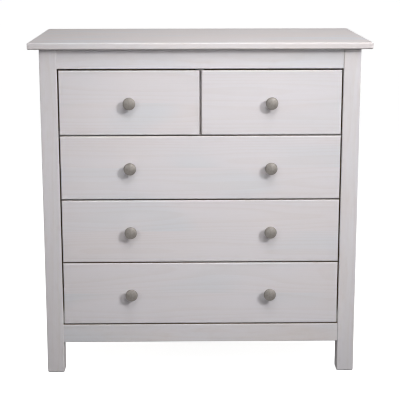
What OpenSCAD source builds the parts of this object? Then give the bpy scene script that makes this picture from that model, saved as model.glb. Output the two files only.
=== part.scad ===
// Chest of drawers in solid wood: two small drawers over three full-width drawers.
// Millimetres. +Z is up, the front faces -Y, and the origin is the centre of the footprint
// on the floor. The drawers slide out along -Y on wooden runners.

/* [Top board] */
// Width of the top board, left to right
top_w = 900; // [740:1:1200]
// Depth of the top board, front to back
top_d = 510; // [420:1:640]
// Thickness of the top board
top_t = 18; // [14:1:30]
// Radius along the edges of the top board
top_edge_r = 4; // [1:0.5:6]
// Overhang of the top board past the legs at each side
side_overhang = 28.5; // [0:0.5:60]
// Overhang of the top board past the front legs
front_overhang = 18; // [0:1:40]
// Overhang of the top board past the rear legs
rear_overhang = 10; // [0:1:40]

/* [Legs] */
// Width of a leg, seen from the front
leg_w = 46; // [38:1:60]
// Depth of a leg, front to back
leg_d = 46; // [42:1:60]
// Radius along the four long edges of a leg
leg_edge_r = 3; // [1:0.5:5]
// Chamfer round the bottom of a leg
foot_chamfer = 3; // [1:0.5:6]
// Clear height from the floor to the bottom rails
floor_gap = 86; // [20:1:200]

/* [Rails and panels] */
// Height of the front rail under the top board
top_rail_h = 52; // [40:1:90]
// Height of the bottom rails, front and rear
bottom_rail_h = 50; // [40:1:90]
// Height of the rear rail under the top board
rear_top_rail_h = 80; // [60:1:120]
// How much thicker the rails are than the drawer fronts
rail_extra_t = 2; // [1:0.5:6]
// Radius along the long front edges of the front rails
rail_edge_r = 2; // [0.5:0.5:4]
// Height of the cross rail under the small drawers
cross_rail_h = 20; // [16:1:24]
// Depth of the cross rail, front to back
cross_rail_d = 60; // [40:1:90]
// Thickness of a side panel
panel_t = 18; // [14:1:20]
// Step from the outside of the legs in to a side panel
panel_inset = 8; // [2:1:12]
// Thickness of the divider between the small drawers
divider_t = 18; // [16:1:24]
// Thickness of the back panel
back_panel_t = 4; // [3:0.5:5]
// Width of the rebates that the back panel lies in
back_rebate_w = 9; // [8:0.5:12]

/* [Drawer fronts] */
// Height of every drawer front
front_h = 171; // [120:1:240]
// Thickness of a drawer front
front_t = 18; // [16:0.5:22]
// Step from the front of the legs back to the drawer fronts and rails
front_recess = 2.5; // [0.5:0.5:6]
// Radius along the four front edges of a drawer front
front_edge_r = 3; // [1:0.5:5]
// Gap between two rows of drawer fronts
row_gap = 3; // [2:0.5:6]
// Gap between the small drawer fronts and the rail above them
top_gap = 4; // [2:0.5:6]
// Gap between a drawer front and a leg
side_gap = 3; // [2:0.5:5]
// Gap between the two small drawer fronts
middle_gap = 5; // [2:0.5:8]

/* [Drawer boxes] */
// Gap between the end of the drawer sides and the rear rails
drawer_rear_gap = 14.5; // [10:0.5:120]
// Thickness of a drawer side
side_t = 14; // [12:1:18]
// Height of a drawer front past the sides, above and below
front_lip = 12; // [12:1:25]
// Thickness of the drawer back
back_t = 12; // [10:1:18]
// Step from the top edge of the drawer sides down to the drawer back
back_drop = 6; // [0:1:20]
// Distance from the drawer back to the rear end of the sides
back_setback = 10; // [5:1:20]
// Thickness of a drawer bottom
bottom_t = 4; // [3:0.5:6]
// Height of a drawer bottom above the bottom edge of the sides
bottom_lift = 10; // [6:1:16]
// Depth of the housings in a drawer front for the ends of the sides
front_housing = 8; // [5:0.5:10]
// Depth of the housings in the drawer sides for the ends of the back
back_housing = 4; // [2:0.5:5]
// Depth of the grooves for the edges of a drawer bottom
bottom_groove = 6; // [4:0.5:7]

/* [Runners] */
// Gap between a leg, or the divider, and a drawer side
runner_gap = 8; // [6:0.5:10]
// Height of a runner
runner_h = 14; // [10:1:20]
// Depth of the groove that the runner fills in a drawer side
runner_groove = 6; // [4:0.5:7]
// Distance from the back of a drawer front to the front end of the runners
runner_setback = 12; // [8:1:16]
// Distance from the rear end of a drawer to the rear end of its runners
runner_tail = 6; // [0:1:9]

/* [Knobs] */
// Diameter of a knob
knob_d = 33; // [26:1:44]
// Distance a knob stands out from its drawer front
knob_l = 25; // [20:1:35]
// Radius round the rim of a knob
knob_rim_r = 4; // [2:0.5:5]
// Distance from the middle of the rim to the front of the knob
knob_dome = 6.5; // [6:0.5:9]
// Diameter of the neck of a knob
knob_neck_d = 14; // [10:1:18]
// Length of the neck, from the drawer front to the flare
knob_neck_l = 8; // [4:0.5:10]
// Diameter of the foot of a knob, on the drawer front
knob_foot_d = 18; // [15:1:24]
// Thickness of the foot of a knob
knob_foot_t = 2; // [1:0.5:3]

/* [Fixings] */
// Diameter of a dowel
dowel_d = 8; // [6:1:10]
// Length of a dowel
dowel_l = 30; // [24:1:36]
// Depth that a dowel goes into the underside of the top board or the face of a rail
dowel_short_end = 10; // [8:1:12]
// Diameter of the knob screws
knob_screw_d = 4; // [3:0.5:5]
// Length of a knob screw past its drawer front
knob_screw_bite = 8; // [6:1:12]
// Diameter of the runner screws
runner_screw_d = 4; // [3:0.5:5]
// Length of the runner screws
runner_screw_l = 25; // [22:1:28]
// Diameter of the back panel screws
back_screw_d = 3; // [2.5:0.5:3.5]
// Length of the back panel screws
back_screw_l = 13; // [10:1:16]
// Diameter of the two wall-fixing holes in the rear top rail
wall_hole_d = 5; // [4:0.5:7]
// Distance between the two wall-fixing holes
wall_hole_spacing = 600; // [300:10:640]

/* [Hidden] */
$fn = 96;

// Clearances
dowel_play = 0.2; // a dowel hole is this much wider than its dowel
dowel_glue_gap = 1; // and this much longer
screw_play = 0.4; // a knob screw's hole in the front is this much wider than the screw
bottom_play = 1; // gap in a groove past the edge of a drawer bottom
runner_top_play = 0.3; // gap between a runner and the top of its groove
runner_low_play = 0.7; // gap between a runner and the bottom of its groove
runner_deep_play = 0.5; // gap between a runner and the floor of its groove
runner_end_play = 0.5; // gap between a runner and the closed end of its groove
cut = 1; // a cutting solid runs this far past the face it opens

// Screw heads
head_ratio = 2; // a screw head's diameter over its screw's
knob_screw_head_t = 2.5;

// Overall layout, with y = 0 on the front of the legs until place() moves it
body_w = top_w - 2 * side_overhang;
body_d = top_d - front_overhang - rear_overhang;
opening_w = body_w - 2 * leg_w;
row_step = front_h + row_gap;
top_row = 3; // rows are counted from the floor, and the small drawers are in this one
fronts_z = floor_gap + bottom_rail_h + row_gap;
top_rail_z = fronts_z + top_row * row_step + front_h + top_gap;
leg_h = top_rail_z + top_rail_h;
front_most = min(-front_overhang, front_recess - knob_l);
rear_most = top_d - front_overhang;
leg_front_y = -(front_most + rear_most) / 2;

// Rails and panels
rail_t = front_t + rail_extra_t;
rail_back_y = front_recess + rail_t;
rear_rail_y = body_d - rail_t;
cross_rail_z = fronts_z + top_row * row_step - row_gap / 2 - cross_rail_h / 2;
divider_z = cross_rail_z + cross_rail_h;
panel_in_x = body_w / 2 - panel_inset - panel_t;
panel_mid_x = panel_in_x + panel_t / 2;
back_low_z = floor_gap + bottom_rail_h - back_rebate_w;
back_high_z = leg_h - rear_top_rail_h + back_rebate_w;
back_panel_w = opening_w + 2 * back_rebate_w;
wall_hole_z = leg_h - rear_top_rail_h / 2;

// Drawers
front_back_y = front_recess + front_t;
box_h = front_h - 2 * front_lip;
box_end_y = rear_rail_y - drawer_rear_gap;
back_y = box_end_y - back_setback - back_t;
drawer_names = ["small_left_drawer", "small_right_drawer", "upper_drawer",
                "middle_drawer", "lower_drawer"];
drawer_rows = [top_row, top_row, 2, 1, 0];
small_left = 0;
small_right = 1;
knob_x = (middle_gap / 2 + opening_w / 2 - side_gap) / 2;

// Runners
runner_t = runner_gap + runner_groove - runner_deep_play;
runner_y = front_back_y + runner_setback;
runner_end_y = box_end_y + runner_tail;

// Left and right edges of a drawer's front
function front_low_x(i) = i == small_right ? middle_gap / 2 : side_gap - opening_w / 2;
function front_high_x(i) = i == small_left ? -middle_gap / 2 : opening_w / 2 - side_gap;
// Face of the leg or divider that a drawer's left or right runner is screwed to
function bay_low_x(i) = i == small_right ? divider_t / 2 : -opening_w / 2;
function bay_high_x(i) = i == small_left ? -divider_t / 2 : opening_w / 2;
// Outer faces of a drawer's sides
function box_low_x(i) = bay_low_x(i) + runner_gap;
function box_high_x(i) = bay_high_x(i) - runner_gap;
// Bottom edges of a drawer's front and sides, and of its runners
function front_z(i) = fronts_z + drawer_rows[i] * row_step;
function box_z(i) = front_z(i) + front_lip;
function runner_z(i) = box_z(i) + (box_h - runner_h) / 2;
function knob_z(i) = front_z(i) + front_h / 2;
function knob_xs(i) = i == small_left ? [-knob_x] : i == small_right ? [knob_x] : [-knob_x, knob_x];

// Dowels, each as [middle of its first end, direction]. That end touches the bottom of its hole.
half_dowel = dowel_l / 2;
top_deep = dowel_l - dowel_short_end;
rail_dowel_spread = 14; // from a rail's centre line to each of its two dowels
panel_dowels = 3; // in each joint between a side panel and a leg
divider_dowel_y = body_d / 4;
function rail_dowels(y, z) =
    [for (s = [-1, 1]) for (t = [-1, 1])
        [[s * (opening_w / 2 - half_dowel), y, z + t * rail_dowel_spread], [s, 0, 0]]];
function top_edge_dowels(y) =
    [for (k = [-1, -1/3, 1/3, 1])
        [[k * opening_w / 3, y, leg_h - top_deep], [0, 0, 1]]];
front_rail_y = front_recess + rail_t / 2;
rear_rail_mid_y = body_d - rail_t / 2;
dowels = concat(
    rail_dowels(front_rail_y, top_rail_z + top_rail_h / 2),
    rail_dowels(front_rail_y, floor_gap + bottom_rail_h / 2),
    rail_dowels(rear_rail_mid_y, wall_hole_z),
    rail_dowels(rear_rail_mid_y, floor_gap + bottom_rail_h / 2),
    [for (s = [-1, 1])
        [[s * (opening_w / 2 - half_dowel), (rail_back_y + leg_d) / 2,
          cross_rail_z + cross_rail_h / 2], [s, 0, 0]]],
    [for (s = [-1, 1]) for (k = [1 : panel_dowels])
        let (z = floor_gap + (leg_h - floor_gap) * k / (panel_dowels + 1))
        each [[[s * panel_mid_x, leg_d + half_dowel, z], [0, -1, 0]],
              [[s * panel_mid_x, body_d - leg_d - half_dowel, z], [0, 1, 0]]]],
    [for (s = [-1, 1]) for (y = [leg_d / 2, body_d - leg_d / 2])
        [[s * (body_w - leg_w) / 2, y, leg_h - top_deep], [0, 0, 1]]],
    [for (s = [-1, 1]) for (y = [body_d / 3, body_d * 2 / 3])
        [[s * panel_mid_x, y, leg_h - top_deep], [0, 0, 1]]],
    top_edge_dowels(front_rail_y),
    top_edge_dowels(rear_rail_mid_y),
    [for (y = [divider_dowel_y, body_d - divider_dowel_y]) [[0, y, leg_h - top_deep], [0, 0, 1]]],
    [[[0, rail_back_y + cross_rail_d / 2, divider_z + top_deep], [0, 0, -1]]],
    [for (t = [-1, 1]) [[0, rear_rail_y - top_deep, wall_hole_z + t * rail_dowel_spread], [0, 1, 0]]]
);

// Runner screws, two to a runner: into the legs at a side, into the divider in the middle
divider_screw_step = 20; // keeps the screws in the two faces of the divider apart
function runner_screw_ys(i, s) =
    i == small_left && s > 0 ? [leg_d + divider_screw_step, body_d - leg_d - 3 * divider_screw_step] :
    i == small_right && s < 0 ? [leg_d + 2 * divider_screw_step, body_d - leg_d - 2 * divider_screw_step] :
    [(runner_y + leg_d) / 2, (body_d - leg_d + runner_end_y) / 2];

// Back panel screws, round the edge of the panel
back_screws_across = 4;
back_screws_up = 4;
back_screw_x = opening_w / 2 + back_rebate_w / 2;
back_screw_spots = concat(
    [for (s = [-1, 1]) for (k = [0 : back_screws_up - 1])
        let (low = back_low_z + 3 * back_rebate_w, high = back_high_z - 3 * back_rebate_w)
        [s * back_screw_x, low + (high - low) * k / (back_screws_up - 1)]],
    [for (z = [back_low_z, back_high_z - back_rebate_w]) for (k = [1 : back_screws_across])
        [opening_w * (k / (back_screws_across + 1) - 0.5), z + back_rebate_w / 2]]
);

carcass_nodes = ["top_board", "front_left_leg", "front_right_leg", "rear_left_leg",
    "rear_right_leg", "left_side_panel", "right_side_panel", "front_top_rail",
    "front_bottom_rail", "cross_rail", "rear_top_rail", "rear_bottom_rail", "divider",
    "back_panel", "carcass_dowels", "runner_screws", "back_panel_screws"];
drawer_pieces = ["front", "left_side", "right_side", "back", "bottom"];
function knob_names(i) =
    len(knob_xs(i)) == 1 ? [str(drawer_names[i], "_knob")]
                         : [str(drawer_names[i], "_left_knob"), str(drawer_names[i], "_right_knob")];
drawer_list = [0 : len(drawer_names) - 1];

// Colours
painted = [0.88, 0.87, 0.85];
front_colour = [0.93, 0.92, 0.90];
bare_wood = [0.87, 0.78, 0.62];
plywood = [0.80, 0.70, 0.54];
nickel = [0.60, 0.59, 0.57];
steel = [0.72, 0.73, 0.75];
beech = [0.80, 0.62, 0.42];

// ---- Shapes ----

// Moves a shape from the layout frame, with y = 0 on the front of the legs, to its place
module place() {
    translate([0, leg_front_y, 0]) children();
}

// A box between two opposite corners
module block(low, high) {
    translate(low) cube(high - low);
}

// A rectangle centred on x, its corners rounded on the low-y side, or on both sides
module eased_rect(w, d, r, both = false) {
    flat_top = both ? d - r : d;
    translate([-w / 2, r]) square([w, flat_top - r]);
    translate([-w / 2 + r, 0]) square([w - 2 * r, d]);
    for (s = [-1, 1]) {
        translate([s * (w / 2 - r), r]) circle(r);
        if (both) translate([s * (w / 2 - r), d - r]) circle(r);
    }
}

// A board between two opposite corners, the long edges of its front face rounded
module eased_rail(low, high, r) {
    size = high - low;
    translate([low.x, low.y, low.z + size.z / 2]) rotate([0, 90, 0]) linear_extrude(size.x)
        eased_rect(size.z, size.y, r);
}

// A board between two opposite corners, all four edges of its front face rounded
module eased_front(low, high, r) {
    size = high - low;
    intersection() {
        eased_rail(low, high, r);
        translate([low.x + size.x / 2, low.y, low.z]) linear_extrude(size.z)
            eased_rect(size.x, size.y, r);
    }
}

// The turn that points +Z along a row axis
function turn_to(dir) = [-90 * dir.y + (dir.z < 0 ? 180 : 0), 90 * dir.x, 0];

// A cylinder from a point along a unit direction
module rod(start, dir, d, l) {
    translate(start)
        rotate(turn_to(dir)) cylinder(d = d, h = l);
}

// Every dowel hole, cut through both pieces of each joint
module dowel_holes() {
    for (p = dowels) rod(p[0], p[1], dowel_d + dowel_play, dowel_l + dowel_glue_gap);
}

// A countersunk screw along a unit direction, its head flush at the start point
module countersunk_screw(start, dir, d, l) {
    translate(start)
        rotate(turn_to(dir)) {
            cylinder(d1 = head_ratio * d, d2 = d, h = (head_ratio - 1) * d / 2);
            cylinder(d = d, h = l);
        }
}

// The runner screws of drawer i on side s
module runner_screw_set(i, s) {
    face_x = s > 0 ? bay_high_x(i) - runner_t : bay_low_x(i) + runner_t;
    for (y = runner_screw_ys(i, s))
        countersunk_screw([face_x, y, runner_z(i) + runner_h / 2], [s, 0, 0],
            runner_screw_d, runner_screw_l);
}

module all_runner_screws() {
    for (i = drawer_list) for (s = [-1, 1]) runner_screw_set(i, s);
}

module all_back_screws() {
    for (p = back_screw_spots)
        countersunk_screw([p.x, body_d, p.y], [0, -1, 0], back_screw_d, back_screw_l);
}

// ---- Carcass ----

module top_board() {
    color(painted) place() difference() {
        translate([0, -front_overhang, leg_h]) intersection() {
            linear_extrude(top_t) eased_rect(top_w, top_d, top_edge_r, both = true);
            translate([0, top_d, 0]) rotate([90, 0, 0]) linear_extrude(top_d)
                eased_rect(top_w, top_t, top_edge_r, both = true);
            translate([-top_w / 2, top_d / 2, 0]) rotate([90, 0, 90]) linear_extrude(top_w)
                eased_rect(top_d, top_t, top_edge_r, both = true);
        }
        dowel_holes();
    }
}

// A leg's outline with its foot chamfered, across a width w
module foot_outline(w) {
    polygon([[-w / 2 + foot_chamfer, 0], [w / 2 - foot_chamfer, 0], [w / 2, foot_chamfer],
        [w / 2, leg_h], [-w / 2, leg_h], [-w / 2, foot_chamfer]]);
}

// A leg at side s, its front face at y
module leg(s, y) {
    translate([s * (body_w - leg_w) / 2, y, 0]) intersection() {
        linear_extrude(leg_h) eased_rect(leg_w, leg_d, leg_edge_r, both = true);
        translate([0, leg_d, 0]) rotate([90, 0, 0]) linear_extrude(leg_d) foot_outline(leg_w);
        translate([-leg_w / 2, leg_d / 2, 0]) rotate([90, 0, 90]) linear_extrude(leg_w)
            foot_outline(leg_d);
    }
}

module front_leg(s) {
    color(painted) place() difference() {
        leg(s, 0);
        dowel_holes();
        all_runner_screws();
    }
}

// The rebate for the back panel in the rear legs and rails
module back_rebate() {
    block([-back_panel_w / 2, body_d - back_panel_t, back_low_z],
          [back_panel_w / 2, body_d + cut, back_high_z]);
}

module rear_leg(s) {
    color(painted) place() difference() {
        leg(s, body_d - leg_d);
        dowel_holes();
        all_runner_screws();
        back_rebate();
        all_back_screws();
    }
}

module side_panel(s) {
    near = s > 0 ? panel_in_x : -panel_in_x - panel_t;
    color(painted) place() difference() {
        block([near, leg_d, floor_gap], [near + panel_t, body_d - leg_d, leg_h]);
        dowel_holes();
    }
}

// A front rail between the legs
module front_rail(z, h) {
    color(painted) place() difference() {
        eased_rail([-opening_w / 2, front_recess, z], [opening_w / 2, rail_back_y, z + h],
            rail_edge_r);
        dowel_holes();
    }
}

module cross_rail() {
    color(bare_wood) place() difference() {
        block([-opening_w / 2, rail_back_y, cross_rail_z],
              [opening_w / 2, rail_back_y + cross_rail_d, divider_z]);
        dowel_holes();
    }
}

// A rear rail between the legs, with the rebate for the back panel
module rear_rail(z, h) {
    difference() {
        block([-opening_w / 2, rear_rail_y, z], [opening_w / 2, body_d, z + h]);
        dowel_holes();
        back_rebate();
        all_back_screws();
    }
}

module rear_top_rail() {
    color(bare_wood) place() difference() {
        rear_rail(leg_h - rear_top_rail_h, rear_top_rail_h);
        for (s = [-1, 1])
            rod([s * wall_hole_spacing / 2, rear_rail_y - cut, wall_hole_z], [0, 1, 0],
                wall_hole_d, rail_t + 2 * cut);
    }
}

module rear_bottom_rail() {
    color(bare_wood) place() rear_rail(floor_gap, bottom_rail_h);
}

module divider() {
    color(painted) place() difference() {
        block([-divider_t / 2, rail_back_y, divider_z], [divider_t / 2, rear_rail_y, leg_h]);
        dowel_holes();
        all_runner_screws();
    }
}

module back_panel() {
    color(plywood) place() difference() {
        block([-back_panel_w / 2, body_d - back_panel_t, back_low_z],
              [back_panel_w / 2, body_d, back_high_z]);
        all_back_screws();
    }
}

module carcass_dowels() {
    color(beech) place() for (p = dowels) rod(p[0], p[1], dowel_d, dowel_l);
}

module runner_screws() {
    color(steel) place() all_runner_screws();
}

module back_panel_screws() {
    color(steel) place() all_back_screws();
}

// The two runners of drawer i. A runner at the side of the chest is packed out to the side
// panel between the legs.
module runners(i) {
    low = runner_z(i);
    high = low + runner_h;
    color(bare_wood) place() difference() {
        for (s = [-1, 1]) {
            face_x = s > 0 ? bay_high_x(i) : bay_low_x(i);
            block([min(face_x, face_x - s * runner_t), runner_y, low],
                  [max(face_x, face_x - s * runner_t), runner_end_y, high]);
            if (abs(face_x) > divider_t)
                block([min(face_x, s * panel_in_x), leg_d, low],
                      [max(face_x, s * panel_in_x), body_d - leg_d, high]);
        }
        all_runner_screws();
    }
}

// ---- Drawers ----

// A drawer bottom's board, or with the play given the grooves for its edges
module bottom_board(i, play) {
    z = box_z(i) + bottom_lift;
    reach = bottom_groove - bottom_play + play;
    block([box_low_x(i) + side_t - reach, front_back_y - reach, z],
          [box_high_x(i) - side_t + reach, back_y + back_t + play, z + bottom_t]);
}

// The full board that drawer i's side s is cut from
module side_blank(i, s) {
    x = s > 0 ? box_high_x(i) - side_t : box_low_x(i);
    block([x, front_back_y - front_housing, box_z(i)], [x + side_t, box_end_y, box_z(i) + box_h]);
}

// A drawer's back board, housed in both sides
module back_blank(i) {
    block([box_low_x(i) + side_t - back_housing, back_y, box_z(i) + bottom_lift + bottom_t],
          [box_high_x(i) - side_t + back_housing, back_y + back_t, box_z(i) + box_h - back_drop]);
}

module drawer_front(i) {
    color(front_colour) place() difference() {
        eased_front([front_low_x(i), front_recess, front_z(i)],
            [front_high_x(i), front_back_y, front_z(i) + front_h], front_edge_r);
        for (s = [-1, 1]) side_blank(i, s);
        bottom_board(i, bottom_play);
        for (x = knob_xs(i))
            rod([x, front_recess - cut, knob_z(i)], [0, 1, 0],
                knob_screw_d + screw_play, front_t + 2 * cut);
    }
}

// A drawer side with its runner groove outside, and the bottom's groove and the back's
// housing inside
module drawer_side(i, s) {
    outer_x = s > 0 ? box_high_x(i) : box_low_x(i);
    groove_x = outer_x - s * runner_groove;
    color(bare_wood) place() difference() {
        side_blank(i, s);
        block([min(groove_x, outer_x + s * cut), runner_y - runner_end_play,
               runner_z(i) - runner_low_play],
              [max(groove_x, outer_x + s * cut), box_end_y + cut,
               runner_z(i) + runner_h + runner_top_play]);
        bottom_board(i, bottom_play);
        back_slot(i);
    }
}

// The housing for a drawer back, open to the top edge of the sides so that the back drops in
module back_slot(i) {
    block([box_low_x(i) + side_t - back_housing, back_y, box_z(i) + bottom_lift],
          [box_high_x(i) - side_t + back_housing, back_y + back_t, box_z(i) + box_h + cut]);
}

module drawer_back(i) {
    color(bare_wood) place() back_blank(i);
}

module drawer_bottom(i) {
    color(plywood) place() bottom_board(i, 0);
}

// ---- Knobs ----

// Half of a knob's section, y along its axis from the drawer front. The dome meets the rim
// smoothly.
module knob_section() {
    rim_x = knob_d / 2 - knob_rim_r;
    rim_y = knob_l - knob_dome;
    dome_r = (pow(rim_x, 2) + pow(knob_dome, 2) - pow(knob_rim_r, 2)) / (2 * (knob_dome - knob_rim_r));
    dome_y = knob_l - dome_r;
    // where the straight flare leaves the neck and touches the rim
    flare = [rim_x - knob_neck_d / 2, rim_y - knob_neck_l];
    flare_turn = atan2(flare.y, flare.x) - asin(knob_rim_r / norm(flare));
    touch = [rim_x + knob_rim_r * sin(flare_turn), rim_y - knob_rim_r * cos(flare_turn)];
    square([knob_foot_d / 2, knob_foot_t]);
    square([knob_neck_d / 2, rim_y]);
    polygon([[0, knob_neck_l], [knob_neck_d / 2, knob_neck_l], touch, [rim_x, rim_y],
        [0, rim_y]]);
    translate([rim_x, rim_y]) circle(knob_rim_r);
    intersection() {
        translate([0, dome_y]) circle(dome_r);
        polygon([[0, rim_y], [rim_x, rim_y], [2 * rim_x, 2 * rim_y - dome_y], [0, 2 * knob_l]]);
    }
}

module knob(i, x) {
    color(nickel) place() translate([x, front_recess, knob_z(i)]) rotate([90, 0, 0])
        difference() {
            rotate_extrude() knob_section();
            translate([0, 0, -cut]) cylinder(d = knob_screw_d, h = knob_screw_bite + 2 * cut);
        }
}

// A drawer's knob screws, driven from inside the drawer
module knob_screws(i) {
    color(steel) place() for (x = knob_xs(i)) translate([x, front_back_y, knob_z(i)]) {
        rod([0, 0, 0], [0, -1, 0], knob_screw_d, front_t + knob_screw_bite);
        rod([0, 0, 0], [0, 1, 0], head_ratio * knob_screw_d, knob_screw_head_t);
    }
}

// ---- Nodes ----

top_board();
front_leg(-1);  // front_left_leg
front_leg(1);  // front_right_leg
rear_leg(-1);  // rear_left_leg
rear_leg(1);  // rear_right_leg
side_panel(-1);  // left_side_panel
side_panel(1);  // right_side_panel
front_rail(top_rail_z, top_rail_h);  // front_top_rail
front_rail(floor_gap, bottom_rail_h);  // front_bottom_rail
cross_rail();
rear_top_rail();
rear_bottom_rail();
divider();
back_panel();
carcass_dowels();
runner_screws();
back_panel_screws();
for (i = drawer_list) {
    runners(i);
    drawer_front(i);
    drawer_side(i, -1);
    drawer_side(i, 1);
    drawer_back(i);
    drawer_bottom(i);
    for (k = [0 : len(knob_xs(i)) - 1])
        knob(i, knob_xs(i)[k]);
    knob_screws(i);
}
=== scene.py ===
"""Chest of drawers in white-washed pine, with turned metal knobs.

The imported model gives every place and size. Each board is lofted as its own mesh with eased
edges, and carries its grain with it as a mesh attribute, so that one finish serves boards
that run in any direction.
"""
import logging
import math
import random
from dataclasses import dataclass, field
from enum import Enum

import bmesh
import bpy
from mathutils import Matrix, Vector, noise


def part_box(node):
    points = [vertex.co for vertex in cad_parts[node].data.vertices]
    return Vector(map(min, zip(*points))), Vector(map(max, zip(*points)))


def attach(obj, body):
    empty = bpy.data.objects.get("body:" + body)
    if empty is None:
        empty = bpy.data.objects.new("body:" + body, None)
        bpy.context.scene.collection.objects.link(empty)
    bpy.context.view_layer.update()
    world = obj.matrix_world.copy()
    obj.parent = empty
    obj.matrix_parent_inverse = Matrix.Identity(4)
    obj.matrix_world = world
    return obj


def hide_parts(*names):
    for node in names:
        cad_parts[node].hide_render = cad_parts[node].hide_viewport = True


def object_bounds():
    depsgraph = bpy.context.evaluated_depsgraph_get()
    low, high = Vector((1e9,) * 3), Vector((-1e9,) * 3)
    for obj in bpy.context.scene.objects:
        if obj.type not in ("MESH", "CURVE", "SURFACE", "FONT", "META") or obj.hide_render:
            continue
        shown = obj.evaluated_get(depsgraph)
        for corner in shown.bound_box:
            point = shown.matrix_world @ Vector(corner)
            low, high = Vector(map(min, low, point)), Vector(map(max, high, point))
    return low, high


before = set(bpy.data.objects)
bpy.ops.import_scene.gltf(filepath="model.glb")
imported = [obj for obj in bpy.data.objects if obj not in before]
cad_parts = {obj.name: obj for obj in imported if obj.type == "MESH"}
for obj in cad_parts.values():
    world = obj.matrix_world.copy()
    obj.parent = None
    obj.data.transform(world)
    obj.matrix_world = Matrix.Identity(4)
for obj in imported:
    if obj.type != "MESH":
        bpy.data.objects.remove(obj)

CAD_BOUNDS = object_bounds()
LOG = logging.getLogger("chest_of_drawers")
MM = 0.001
SEED = 1847
WHITE = (1.0, 1.0, 1.0, 1.0)
DRAWERS = ("small_left_drawer", "small_right_drawer", "upper_drawer", "middle_drawer",
           "lower_drawer")


class Axis(Enum):
    """A row axis, along which a board is lofted or its grain runs."""

    X = 0
    Y = 1
    Z = 2


class End(Enum):
    """How the ends of a board are worked."""

    SQUARE = "square"
    EASED = "eased all round"
    FRONT_EASED = "eased on the front face only"
    FOOT = "chamfered at the low end"


class Slot(Enum):
    """The record's material slots."""

    WASHED = "washed_pine"
    WASHED_FRONT = "washed_pine_fronts"
    BARE = "bare_pine"
    PLYWOOD = "thin_plywood"
    BEECH = "beech_dowel"
    NICKEL = "brushed_nickel"
    STEEL = "screw_steel"


# ---------------------------------------------------------------- shader graphs


class Graph:
    """Adds and links the nodes of one shader tree."""

    def __init__(self, tree: bpy.types.NodeTree) -> None:
        """Starts on a tree, which may already hold nodes."""
        self.tree = tree

    def add(self, kind: str, values: dict | None = None, **settings: object) -> bpy.types.Node:
        """Adds a node.

        Args:
            kind: The node's type name without its ShaderNode prefix.
            values: Input name or index to a constant, or to the output socket that feeds it.
            **settings: Properties of the node itself.

        Returns:
            The new node.
        """
        made = self.tree.nodes.new(f"ShaderNode{kind}")
        for key, value in settings.items():
            setattr(made, key, value)
        for key, value in (values or {}).items():
            if isinstance(value, bpy.types.NodeSocket):
                self.tree.links.new(value, made.inputs[key])
            else:
                made.inputs[key].default_value = value
        return made

    def math(self, operation: str, *terms: object, clamp: bool = False) -> bpy.types.NodeSocket:
        """Combines numbers or sockets with one Math node and returns its output."""
        made = self.add("Math", dict(enumerate(terms)), operation=operation, use_clamp=clamp)
        return made.outputs[0]

    def vector_math(self, operation: str, *terms: object) -> bpy.types.NodeSocket:
        """Combines vectors with one Vector Math node and returns its vector output."""
        return self.add("VectorMath", dict(enumerate(terms)), operation=operation).outputs[0]

    def ramp(self, value: object, low: float, high: float) -> bpy.types.NodeSocket:
        """Returns a smooth step of value, from 0 at low to 1 at high."""
        made = self.add("MapRange", {"Value": value, "From Min": low, "From Max": high},
                        interpolation_type="SMOOTHSTEP")
        return made.outputs[0]

    def mix(self, factor: object, first: object, second: object) -> bpy.types.NodeSocket:
        """Mixes two colours and returns the result.

        Args:
            factor: Share of the second colour, a number or a socket.
            first: A colour or a socket.
            second: A colour or a socket.

        Returns:
            The socket of the mixed colour.
        """
        made = self.add("Mix", data_type="RGBA")
        for socket, value in ((made.inputs[0], factor), (made.inputs[6], first),
                              (made.inputs[7], second)):
            if isinstance(value, bpy.types.NodeSocket):
                self.tree.links.new(value, socket)
            else:
                socket.default_value = value
        return made.outputs[2]

    def noise(self, vector: object, scale: float, detail: float = 2.0) -> bpy.types.NodeSocket:
        """Returns a noise value between 0 and 1 at a place."""
        return self.add("TexNoise", {"Vector": vector, "Scale": scale, "Detail": detail}).outputs[0]

    def group(self, tree: bpy.types.NodeTree, values: dict) -> bpy.types.Node:
        """Places a node group and sets or feeds its inputs.

        Args:
            tree: The node group.
            values: Input name to a constant, or to the socket that feeds it.

        Returns:
            The placed group node.
        """
        made = self.tree.nodes.new("ShaderNodeGroup")
        made.node_tree = tree
        for key, value in values.items():
            if isinstance(value, bpy.types.NodeSocket):
                self.tree.links.new(value, made.inputs[key])
            else:
                made.inputs[key].default_value = value
        return made


class EffectGroup:
    """A shader node group with named inputs and outputs, built once."""

    def __init__(self, name: str, inputs: dict, outputs: dict) -> None:
        """Makes the group's tree and its sockets.

        Args:
            name: The group's name.
            inputs: Socket name to its default, a number, a 3-vector or a colour of 4 numbers.
            outputs: Socket name to its socket type.
        """
        self.tree = bpy.data.node_groups.new(name, "ShaderNodeTree")
        for key, value in inputs.items():
            size = len(value) if isinstance(value, tuple) else 1
            kind = {1: "NodeSocketFloat", 3: "NodeSocketVector", 4: "NodeSocketColor"}[size]
            made = self.tree.interface.new_socket(key, in_out="INPUT", socket_type=kind)
            made.default_value = value
        for key, kind in outputs.items():
            self.tree.interface.new_socket(key, in_out="OUTPUT", socket_type=kind)
        self.graph = Graph(self.tree)
        self.inputs = self.tree.nodes.new("NodeGroupInput").outputs
        self.ends = self.tree.nodes.new("NodeGroupOutput").inputs

    def put_out(self, name: str, socket: bpy.types.NodeSocket) -> None:
        """Feeds one of the group's outputs."""
        self.tree.links.new(socket, self.ends[name])


# Cells to a metre, along the log and twice across it
SLOW_SWAY = (1.3, 7.0, 7.0)
KNOT_CELLS = (3.2, 9.0, 9.0)
FIBRES = (9.0, 620.0, 620.0)
# A knot pushes the rings aside by this many rings, less and less with distance
KNOT_PUSH = 2.4
PUSH_BASE = 2.72
PUSH_FALL = -0.35
KNOT_RIM = (0.55, 1.15)
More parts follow.
